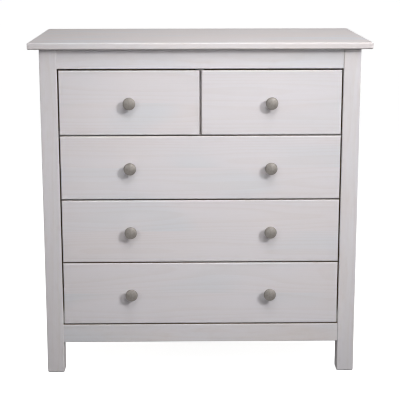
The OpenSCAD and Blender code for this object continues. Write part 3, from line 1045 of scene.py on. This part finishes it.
@dataclass
class Knob:
    """A turned knob with a stepped foot, a waisted neck, a rolled rim and a low dome."""

    node: str
    body: str
    neck_r: float = 7.0 * MM
    foot_r: float = 9.0 * MM
    foot_t: float = 2.0 * MM
    rim_r: float = 4.0 * MM
    dome: float = 6.5 * MM
    neck_l: float = 8.0 * MM
    neck_share: float = 0.75
    foot_ease: float = 0.5 * MM
    cove: float = 1.2 * MM
    bend: float = 3.0 * MM
    bend_drop: float = 1.2 * MM
    segments: int = 96

    def profile(self, radius: float, length: float) -> list[tuple[float, float]]:
        """The knob's outline, height 0 on the drawer front.

        Args:
            radius: Greatest radius of the knob.
            length: Its height above the drawer front.

        Returns:
            (radius, height) points from foot to crown.
        """
        rim_x, rim_z = radius - self.rim_r, length - self.dome
        dome_r = (rim_x**2 + self.dome**2 - self.rim_r**2) / (2 * (self.dome - self.rim_r))
        lean = math.degrees(math.atan2(rim_z - (length - dome_r), rim_x))
        run, rise = rim_x - self.neck_r, rim_z - self.neck_l
        flare = math.degrees(math.atan2(rise, run) - math.asin(self.rim_r / math.hypot(run, rise)))
        ease, cove, bend = self.foot_ease, self.cove, self.bend
        points = [(0.0, 0.0), (self.foot_r, 0.0)]
        points += arc((self.foot_r - ease, self.foot_t - ease), ease, 0, 90, steps=4)
        points += arc((self.neck_r + cove, self.foot_t + cove), cove, 270, 180, steps=5)
        points += [(self.neck_r, self.neck_l * self.neck_share)]
        points += arc((self.neck_r + bend, self.neck_l - self.bend_drop), bend, 180, 90 + flare,
                      steps=6)
        points += arc((rim_x, rim_z), self.rim_r, flare - 90, lean, steps=14)
        points += arc((0.0, length - dome_r), dome_r, lean, 90, steps=18)[1:]
        return points

    def build(self, paint: Paintbox) -> bpy.types.Object:
        """Turns the knob and sets it on its drawer front.

        Args:
            paint: The finishes.

        Returns:
            The finished object.
        """
        low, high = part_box(self.node)
        radius, length = (high.x - low.x) / 2, high.y - low.y
        mesh = lathe(f"{self.node}_turned", self.profile(radius, length), self.segments)
        write_turning(mesh)
        upright = Matrix.Rotation(math.pi / 2, 4, "X")
        seat = Matrix.Translation(((low.x + high.x) / 2, high.y, (low.z + high.z) / 2))
        mesh.transform(seat @ upright)
        piece = bpy.data.objects.new(f"{self.node}_turned", mesh)
        bpy.context.scene.collection.objects.link(piece)
        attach(piece, self.body)
        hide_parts(self.node)
        paint.dress(piece, Slot.NICKEL)
        return piece


@dataclass
class ScrewSet:
    """The screws of one CAD node, each with a cross recess in its head."""

    node: str
    body: str
    pan_head: bool = False
    segments: int = 40
    recess_length: float = 0.62
    recess_width: float = 0.17
    recess_depth: float = 0.55
    recess_edge: tuple = (1.15, 0.3)
    head_rings: int = 12
    head_crown: float = 0.35 * MM
    head_t: float = 2.5 * MM
    rim_r: float = 0.8 * MM
    rim_drop: float = 0.9 * MM
    seat_drop: float = 0.12 * MM
    tip: float = 2.0 * MM
    solid_weld: float = 0.001 * MM
    end_reach: float = 0.5 * MM
    turned_at: float = 0.3

    def solids(self) -> list[list[Vector]]:
        """The corner points of each screw in the node's mesh.

        Returns:
            A list of points for each screw, sorted by place, so that every run is the same.
        """
        work = bmesh.new()
        work.from_mesh(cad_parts[self.node].data)
        bmesh.ops.remove_doubles(work, verts=work.verts, dist=self.solid_weld)
        left, found = set(work.verts), []
        while left:
            reached, todo = set(), [left.pop()]
            while todo:
                vert = todo.pop()
                reached.add(vert)
                near = {edge.other_vert(vert) for edge in vert.link_edges} & left
                left -= near
                todo += near
            found.append([vert.co.copy() for vert in reached])
        work.free()
        return sorted(found, key=lambda points: [min(p[k] for p in points) for k in range(3)])

    def profile(self, head: float, shank: float, length: float) -> list[tuple[float, float]]:
        """The outline from the rim of the head to the tip, height 0 on the head's face.

        Args:
            head: Radius of the head.
            shank: Radius of the shank.
            length: Length of the screw.

        Returns:
            (radius, height) points.
        """
        end = (shank, self.tip - length)
        if self.pan_head:
            centre = (head - self.rim_r, -self.rim_drop)
            rim = arc(centre, self.rim_r, 60, 0, steps=4)
            return rim + [(head, -self.head_t), (shank, -self.head_t), end]
        return [(head, -self.seat_drop), (shank, shank - head), end]

    def dip(self, r: float, turn: float, head: float) -> float:
        """How deep the cross recess is at a place on the head's face.

        Args:
            r: Radius of the place.
            turn: Its angle.
            head: Radius of the head.

        Returns:
            The depth below the face.
        """
        quarter = (turn + math.pi / 4) % (math.pi / 2) - math.pi / 4
        side = r * abs(math.sin(quarter)) / (self.recess_width * head)
        out = r / (self.recess_length * head)
        reach, fade = self.recess_edge
        inside = max(0.0, min(1.0, (reach - side) / fade)) * max(0.0, 1.0 - out**3)
        return self.recess_depth * head * inside

    def turned(self, head: float, shank: float, length: float) -> tuple[list, list]:
        """The points and faces of one screw, upright, its head's face at height 0.

        Args:
            head: Radius of the head.
            shank: Radius of the shank.
            length: Length of the screw.

        Returns:
            The points, then the faces as tuples of point numbers.
        """
        crown = self.head_crown if self.pan_head else 0.0
        rings = [head * n / self.head_rings for n in range(1, self.head_rings)]
        rows = [[(r, -crown * (r / head) ** 2) for r in rings], self.profile(head, shank, length)]
        verts = [Vector((0.0, 0.0, -self.dip(0.0, 0.0, head)))]
        for part, recessed in zip(rows, (True, False)):
            for r, z in part:
                for n in range(self.segments):
                    turn = 2 * math.pi * n / self.segments
                    depth = self.dip(r, turn, head) if recessed else 0.0
                    verts.append(Vector((r * math.cos(turn), r * math.sin(turn), z - depth)))
        verts.append(Vector((0.0, 0.0, -length)))
        size, last = self.segments, len(verts) - 1
        count = (last - 1) // size
        faces = []
        for n in range(size):
            on = (n + 1) % size
            faces.append((0, 1 + n, 1 + on))
            for row in range(count - 1):
                a, b = 1 + row * size, 1 + (row + 1) * size
                faces.append((a + n, b + n, b + on, a + on))
            tail = 1 + (count - 1) * size
            faces.append((tail + on, tail + n, last))
        return verts, faces

    def build(self, paint: Paintbox) -> None:
        """Turns every screw of the node into one piece and dresses it.

        Args:
            paint: The finishes.
        """
        verts, faces, turning = [], [], []
        luck = random.Random(f"{SEED} {self.node}")
        for points in self.solids():
            low = Vector(min(p[k] for p in points) for k in range(3))
            high = Vector(max(p[k] for p in points) for k in range(3))
            axis = max(range(3), key=lambda k: high[k] - low[k])
            centre = (low + high) / 2

            def widest(end: float) -> float:
                """The greatest radius at one end of the screw."""
                ring = [p - centre for p in points if abs(p[axis] - end) < self.end_reach]
                return max(math.hypot(*(v[k] for k in range(3) if k != axis)) for v in ring)

            wide_low, wide_high = widest(low[axis]), widest(high[axis])
            way = Vector((0.0, 0.0, 0.0))
            way[axis] = 1.0 if wide_high > wide_low else -1.0
            head, shank = max(wide_low, wide_high), min(wide_low, wide_high)
            length = high[axis] - low[axis]
            mine, mine_faces = self.turned(head, shank, length)
            seat = centre + way * (length / 2)
            place = Matrix.Translation(seat) @ way.to_track_quat("Z", "Y").to_matrix().to_4x4()
            place = place @ Matrix.Rotation(luck.uniform(0, math.pi / 2), 4, "Z")
            start = len(verts)
            for v in mine:
                turning += [math.hypot(v.x, v.y), v.z, self.turned_at]
                verts.append(place @ v)
            faces += [tuple(start + n for n in face) for face in mine_faces]
        name = f"{self.node}_turned"
        mesh = bpy.data.meshes.new(name)
        mesh.from_pydata(verts, [], faces)
        mesh.attributes.new("turning", "FLOAT_VECTOR", "POINT").data.foreach_set("vector", turning)
        mesh.shade_smooth()
        mesh.set_sharp_from_angle(angle=SCREW_CREASE)
        piece = bpy.data.objects.new(name, mesh)
        bpy.context.scene.collection.objects.link(piece)
        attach(piece, self.body)
        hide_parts(self.node)
        paint.dress(piece, Slot.STEEL)
        LOG.info("%s: %s", self.body, name)


# ---------------------------------------------------------------- studio


@dataclass(frozen=True)
class SoftLight:
    """A square light: its place, what it points at, and its side, power and spread."""

    name: str
    at: tuple
    aim: tuple
    size: float
    watts: float
    spread: float


@dataclass
class Studio:
    """A plain pale floor, soft lights and the camera."""

    camera_away: float = 3.107
    camera_height: float = 1.1645
    camera_aside: float = -0.0438
    look_down: float = 12.33
    look_right: float = 0.78
    roll: float = 0.066
    lens: float = 106.875
    sight: float = 200.0
    floor_size: float = 80.0
    floor_grey: float = 0.55
    floor_roughness: float = 0.9
    floor_glow: float = 0.93
    floor_thrown: float = 0.12
    floor_gleam: float = 0.50
    room_colour: tuple = (0.98, 0.99, 1.0, 1.0)
    room_strength: float = 0.14
    key_watts: float = 312.0
    key_radius: float = 0.42
    key_angle: float = 29.0
    key_blend: float = 0.45
    key_aside: float = 2.2
    key_before: float = 2.6
    key_height: float = 2.5
    key_aim: tuple = (0.27, 0.70)
    filter_width: float = 1.1

    def floor(self) -> None:
        """Lays the floor: pale to the eye, a little darker in the light it throws back."""
        bpy.ops.mesh.primitive_grid_add(x_subdivisions=2, y_subdivisions=2, size=self.floor_size)
        floor = bpy.context.object
        floor.name = "studio_floor"
        made = bpy.data.materials.new("studio_floor")
        made.use_nodes = True
        made.node_tree.nodes.clear()
        graph = Graph(made.node_tree)
        link = graph.tree.links.new
        pale = graph.add("BsdfPrincipled", {"Base Color": (self.floor_grey,) * 3 + (1.0,),
                                            "Roughness": self.floor_roughness,
                                            "Specular IOR Level": 0.0,
                                            "Emission Color": WHITE,
                                            "Emission Strength": self.floor_glow})
        thrown = graph.add("BsdfDiffuse", {"Color": (self.floor_thrown,) * 3 + (1.0,)})
        gleam = graph.add("Emission", {"Strength": self.floor_gleam})
        path = graph.add("LightPath").outputs
        other = graph.add("MixShader", {0: path["Is Glossy Ray"]})
        link(thrown.outputs[0], other.inputs[1])
        link(gleam.outputs[0], other.inputs[2])
        both = graph.add("MixShader", {0: path["Is Camera Ray"]})
        link(other.outputs[0], both.inputs[1])
        link(pale.outputs[0], both.inputs[2])
        graph.add("OutputMaterial", {"Surface": both.outputs[0]})
        floor.data.materials.append(made)

    def sky(self) -> None:
        """Fills the room with soft white light."""
        world = bpy.data.worlds.new("studio_world")
        bpy.context.scene.world = world
        world.use_nodes = True
        world.node_tree.nodes.clear()
        graph = Graph(world.node_tree)
        eye = graph.add("LightPath").outputs["Is Camera Ray"]
        room = graph.add("Background", {"Color": self.room_colour,
                                        "Strength": self.room_strength})
        seen = graph.add("Background", {"Color": WHITE, "Strength": 1.0})
        both = graph.add("MixShader", {0: eye, 1: room.outputs[0], 2: seen.outputs[0]})
        graph.add("OutputWorld", {"Surface": both.outputs[0]})

    def hang(self, data: bpy.types.Light, at: Vector, aim: Vector) -> None:
        """Hangs a light and points it.

        Args:
            data: The light.
            at: Where it hangs.
            aim: What it points at.
        """
        made = bpy.data.objects.new(data.name, data)
        made.location = at
        made.rotation_euler = (aim - at).to_track_quat("-Z", "Y").to_euler()
        bpy.context.scene.collection.objects.link(made)

    def key_light(self) -> None:
        """Hangs the main light: to the upper right, in front, its pool fading to the floor."""
        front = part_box("front_left_leg")[0].y
        data = bpy.data.lights.new("key_light", "SPOT")
        data.energy = self.key_watts
        data.shadow_soft_size = self.key_radius
        data.spot_size = math.radians(self.key_angle)
        data.spot_blend = self.key_blend
        at = Vector((self.key_aside, front - self.key_before, self.key_height))
        self.hang(data, at, Vector((self.key_aim[0], front, self.key_aim[1])))

    def soft_lights(self) -> None:
        """Hangs the square soft lights, above, to the left and behind."""
        high = CAD_BOUNDS[1]
        front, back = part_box("front_left_leg")[0].y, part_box("rear_left_leg")[1].y
        lights = (
            SoftLight("upper_light", (0.30, front - 1.27, 2.50), (0.15, front, 0.75),
                      size=1.0, watts=2.5, spread=60.0),
            SoftLight("top_light", (0.40, -0.10, 2.60), (0.20, 0.05, high.z),
                      size=1.1, watts=1.5, spread=90.0),
            SoftLight("left_fill", (-1.60, front - 2.37, 1.50), (-0.20, front, 0.65),
                      size=0.8, watts=0.8, spread=45.0),
            SoftLight("front_fill", (0.60, front - 3.40, 1.00), (0.10, front, 0.74),
                      size=1.0, watts=0.42, spread=24.0),
            SoftLight("rear_left_fill", (-1.80, back + 2.40, 1.60), (-0.1, back, 0.45),
                      size=1.0, watts=5.0, spread=70.0),
            SoftLight("rear_right_fill", (1.80, back + 2.40, 1.60), (0.1, back, 0.45),
                      size=1.0, watts=3.5, spread=70.0),
            SoftLight("left_side_fill", (-2.80, 0.50, 0.60), (-0.42, 0.0, 0.45),
                      size=0.6, watts=2.0, spread=45.0),
            SoftLight("right_side_fill", (2.80, 0.70, 0.60), (0.42, 0.0, 0.45),
                      size=0.6, watts=1.8, spread=45.0),
        )
        for light in lights:
            data = bpy.data.lights.new(light.name, "AREA")
            data.shape = "SQUARE"
            data.size = light.size
            data.energy = light.watts
            data.spread = math.radians(light.spread)
            self.hang(data, Vector(light.at), Vector(light.aim))

    def camera(self) -> None:
        """Stands the camera in front, a little to the left, and looks down a little."""
        data = bpy.data.cameras.new("camera")
        data.lens = self.lens
        data.clip_end = self.sight
        made = bpy.data.objects.new("camera", data)
        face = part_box("front_left_leg")[0].y
        made.location = (self.camera_aside, face - self.camera_away, self.camera_height)
        turn = Matrix.Rotation(math.radians(-self.look_right), 3, "Z")
        turn = turn @ Matrix.Rotation(math.radians(90 - self.look_down), 3, "X")
        turn = turn @ Matrix.Rotation(math.radians(-self.roll), 3, "Z")
        made.rotation_euler = turn.to_euler()
        bpy.context.scene.collection.objects.link(made)
        bpy.context.scene.camera = made

    def build(self) -> None:
        """Builds the whole studio."""
        self.floor()
        self.sky()
        self.key_light()
        self.soft_lights()
        self.camera()
        bpy.context.scene.view_settings.view_transform = "Standard"
        bpy.context.scene.cycles.filter_width = self.filter_width


# ---------------------------------------------------------------- the chest


@dataclass
class Carcass:
    """The fixed part: top board, legs, rails, panels, divider and runners."""

    body: str = "carcass"
    leg_r: float = 3.0 * MM
    top_r: float = 4.0 * MM
    rail_r: float = 2.0 * MM
    soft_r: float = 1.0 * MM
    foot_chamfer: float = 3.0 * MM
    panel_r: float = 0.4 * MM

    def boards(self) -> list[Board]:
        """Every board of the carcass.

        Returns:
            The boards, not built yet.
        """
        body, soft = self.body, self.soft_r
        made = [node_board("top_board", body, Slot.WASHED, Axis.X, (self.top_r,) * 4,
                           end=End.EASED, end_r=self.top_r, staves=6, warmth=0.6)]
        for name in ("front_left_leg", "front_right_leg"):
            made.append(self.front_leg(name))
        made += [self.rear_leg("rear_left_leg"), self.rear_leg("rear_right_leg")]
        for name in ("left_side_panel", "right_side_panel"):
            made.append(node_board(name, body, Slot.WASHED, Axis.Z, (soft,) * 4, staves=4))
        for name in ("front_top_rail", "front_bottom_rail"):
            made.append(self.front_rail(name))
        made.append(node_board("cross_rail", body, Slot.WASHED, Axis.X, (soft,) * 4))
        made.append(self.rear_bottom_rail())
        made.append(node_board("divider", body, Slot.WASHED, Axis.Y, (soft,) * 4, staves=2))
        made.append(node_board("back_panel", body, Slot.PLYWOOD, Axis.X, (self.panel_r,) * 4))
        return made

    def opening(self) -> tuple[float, float]:
        """The lowest and highest height of the opening that the drawers fill."""
        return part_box("front_bottom_rail")[1].z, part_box("front_top_rail")[0].z

    def front_leg(self, name: str) -> Board:
        """A front leg, with shade painted inside the gaps beside the drawers.

        Args:
            name: The CAD node.

        Returns:
            The board, not built yet.
        """
        board = node_board(name, self.body, Slot.WASHED, Axis.Z, (self.leg_r,) * 4,
                           end=End.FOOT, end_r=self.foot_chamfer,
                           unwashed_from=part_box(name)[0].y + self.leg_r,
                           unwashed_heights=self.opening())
        # Its outer face, outside the gaps, gets no painted shade.
        outer = board.high.x if board.low.x > 0 else board.low.x
        board.unshaded_x = outer
        board.breaks = [(height, board.corners) for height in self.opening()]
        return board

    def front_rail(self, name: str) -> Board:
        """A front rail, with shade painted on the edge that faces the drawers.

        Args:
            name: The CAD node.

        Returns:
            The board, not built yet.
        """
        low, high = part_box(name)
        sill, head = self.opening()
        edge = (sill - self.soft_r, sill + self.soft_r) if high.z < head else \
            (head - self.soft_r, head + self.soft_r)
        return node_board(name, self.body, Slot.WASHED, Axis.X,
                          (self.rail_r, self.soft_r, self.soft_r, self.rail_r),
                          unwashed_from=low.y + self.rail_r, unwashed_heights=edge)

    def rear_leg(self, name: str) -> Board:
        """A rear leg, rebated on its inner rear edge for the back panel.

        Args:
            name: The CAD node.

        Returns:
            The board, not built yet.
        """
        low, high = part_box(name)
        panel_low, panel_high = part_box("back_panel")
        r, left = self.leg_r, low.x < 0
        step_x = panel_low.x if left else panel_high.x
        inner_x = high.x if left else low.x

        def section(cut_x: float, cut_y: float) -> list[Corner]:
            """The leg's section with the rebate reaching to a point.

            Args:
                cut_x: Inner edge of the rebate.
                cut_y: Front face of the rebate.

            Returns:
                The section's corners.
            """
            if left:
                return [Corner(low.x, low.y, r), Corner(high.x, low.y, r), Corner(inner_x, cut_y),
                        Corner(cut_x, cut_y), Corner(cut_x, high.y), Corner(low.x, high.y, r)]
            return [Corner(low.x, low.y, r), Corner(high.x, low.y, r), Corner(high.x, high.y, r),
                    Corner(cut_x, high.y), Corner(cut_x, cut_y), Corner(inner_x, cut_y)]

        plain, cut = section(inner_x, high.y), section(step_x, panel_low.y)
        return Board(f"{name}_board", self.body, name, Slot.WASHED, low, high, Axis.Z, plain,
                     end=End.FOOT, end_r=self.foot_chamfer,
                     breaks=[(panel_low.z, cut), (panel_high.z, plain)])

    def rear_bottom_rail(self) -> Board:
        """The rear bottom rail, rebated along its upper rear edge for the back panel.

        Returns:
            The board, not built yet.
        """
        low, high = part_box("rear_bottom_rail")
        panel_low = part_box("back_panel")[0]
        s = self.soft_r
        section = [Corner(low.y, low.z, s), Corner(high.y, low.z, s), Corner(high.y, panel_low.z),
                   Corner(panel_low.y, panel_low.z), Corner(panel_low.y, high.z),
                   Corner(low.y, high.z, s)]
        return Board("rear_bottom_rail_board", self.body, "rear_bottom_rail", Slot.BARE, low, high,
                     Axis.X, section)

    def build(self, paint: Paintbox) -> None:
        """Builds and dresses the boards, and dresses the CAD nodes that stay.

        Args:
            paint: The finishes.
        """
        for board in self.boards():
            paint.dress(board.build(), board.slot)
            LOG.info("carcass: %s", board.name)
        paint.dress_node("rear_top_rail", Slot.BARE, Axis.X)
        paint.dress_node("carcass_dowels", Slot.BEECH, Axis.X)
        for name in ("runner_screws", "back_panel_screws"):
            ScrewSet(name, self.body).build(paint)


@dataclass
class Drawer:
    """One drawer: front, two grooved sides, back, bottom, knobs, and its pair of runners."""

    name: str
    staves: int = 2
    front_r: float = 3.0 * MM
    soft_r: float = 1.0 * MM
    groove: float = 6.0 * MM
    groove_play: tuple = (0.7 * MM, 0.3 * MM)
    runner_play: float = 0.5 * MM
    bottom_r: float = 0.3 * MM

    def piece(self, part: str) -> str:
        """The node name of one of the drawer's parts."""
        return f"{self.name}_{part}"

    def front(self) -> Board:
        """The front, its four face edges rounded, with shade painted on its edges inside the gaps.

        Returns:
            The board, not built yet.
        """
        soft, r = self.soft_r, self.front_r
        return node_board(self.piece("front"), self.name, Slot.WASHED_FRONT, Axis.X,
                          (r, soft, soft, r), end=End.FRONT_EASED, end_r=r, staves=self.staves,
                          unwashed_from=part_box(self.piece("front"))[0].y + r)

    def side(self, part: str) -> Board:
        """A side, grooved outside for its runner from the rear end to near the front.

        Args:
            part: left_side or right_side.

        Returns:
            The board, not built yet.
        """
        low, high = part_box(self.piece(part))
        low = Vector((low.x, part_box(self.piece("front"))[1].y, low.z))
        run_low, run_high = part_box(self.piece("runners"))
        bottom, top = run_low.z - self.groove_play[0], run_high.z + self.groove_play[1]
        s, left = self.soft_r, part == "left_side"
        outer = low.x if left else high.x

        def section(floor: float) -> list[Corner]:
            """The side's section with the floor of its groove at x.

            Args:
                floor: Where the floor of the groove lies.

            Returns:
                The section's corners.
            """
            groove = [Corner(bottom, outer), Corner(bottom, floor), Corner(top, floor),
                      Corner(top, outer)]
            near = [Corner(low.z, low.x, s)] + (groove if left else []) + [Corner(high.z, low.x, s)]
            far = [Corner(high.z, high.x, s)] + ([] if left else groove[::-1])
            return near + far + [Corner(low.z, high.x, s)]

        cut = section(outer + (self.groove if left else -self.groove))
        return Board(f"{self.piece(part)}_board", self.name, self.piece(part), Slot.BARE, low, high,
                     Axis.Y, section(outer), breaks=[(run_low.y - self.runner_play, cut)])

    def inner_board(self, part: str, slot: Slot, axis: Axis, radii: tuple) -> Board:
        """The back or the bottom, as far as it shows between the sides.

        Args:
            part: back or bottom.
            slot: Its finish.
            axis: Axis that it is lofted along.
            radii: Radius of each corner of its section.

        Returns:
            The board, not built yet.
        """
        name = self.piece(part)
        low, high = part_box(name)
        low = Vector((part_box(self.piece("left_side"))[1].x,
                      max(low.y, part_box(self.piece("front"))[1].y), low.z))
        high = Vector((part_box(self.piece("right_side"))[0].x, high.y, high.z))
        return Board(f"{name}_board", self.name, name, slot, low, high, axis,
                     rectangle(low, high, axis, radii))

    def runner(self, left: bool) -> Board:
        """A runner. One beside the legs is packed out to the side panel between them.

        Args:
            left: Whether it is the left one.

        Returns:
            The board, not built yet.
        """
        name = self.piece("runners")
        low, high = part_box(name)
        side_low, side_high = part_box(self.piece("left_side" if left else "right_side"))
        sign = 1 if left else -1
        tip = (side_low.x if left else side_high.x) + sign * (self.groove - self.runner_play)
        far = low.x if left else high.x
        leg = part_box("front_left_leg" if left else "front_right_leg")
        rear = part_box("rear_left_leg" if left else "rear_right_leg")
        face = leg[1].x if left else leg[0].x
        s = self.soft_r
        beside_leg = abs(far) > abs(face)
        box_low = Vector((min(far, tip), low.y, low.z))
        box_high = Vector((max(far, tip), high.y, high.z))
        if beside_leg:
            start, stop = leg[1].y, rear[0].y
            path = [(tip, low.y, s), (face, low.y, 0), (face, start, 0), (far, start, 0),
                    (far, stop, 0), (face, stop, 0), (face, high.y, 0), (tip, high.y, s)]
            corners = [Corner(*spot) for spot in path]
            if left:
                corners = corners[::-1]
        else:
            corners = rectangle(box_low, box_high, Axis.Z, (s,) * 4)
        side = "left" if left else "right"
        return Board(f"{self.piece(side)}_runner", "carcass", name, Slot.BARE, box_low, box_high,
                     Axis.Z, corners, grain=Axis.Y)

    def build(self, paint: Paintbox) -> None:
        """Builds and dresses every piece of the drawer, and its runners on the carcass.

        Args:
            paint: The finishes.
        """
        soft = (self.soft_r,) * 4
        boards = [self.front(), self.side("left_side"), self.side("right_side"),
                  self.inner_board("back", Slot.BARE, Axis.X, soft),
                  self.inner_board("bottom", Slot.PLYWOOD, Axis.X, (self.bottom_r,) * 4),
                  self.runner(True), self.runner(False)]
        for board in boards:
            paint.dress(board.build(), board.slot)
            LOG.info("%s: %s", self.name, board.name)
        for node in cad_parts:
            if node.startswith(self.name) and node.endswith("knob"):
                Knob(node, self.name).build(paint)
                LOG.info("%s: %s", self.name, node)
        ScrewSet(self.piece("knob_screws"), self.name, pan_head=True).build(paint)


def main() -> None:
    """Builds the studio, the carcass and the five drawers."""
    logging.basicConfig(level=logging.INFO, format="%(message)s")
    Studio().build()
    paint = Paintbox()
    Carcass().build(paint)
    for name in DRAWERS:
        Drawer(name).build(paint)


if __name__ == "__main__":
    main()
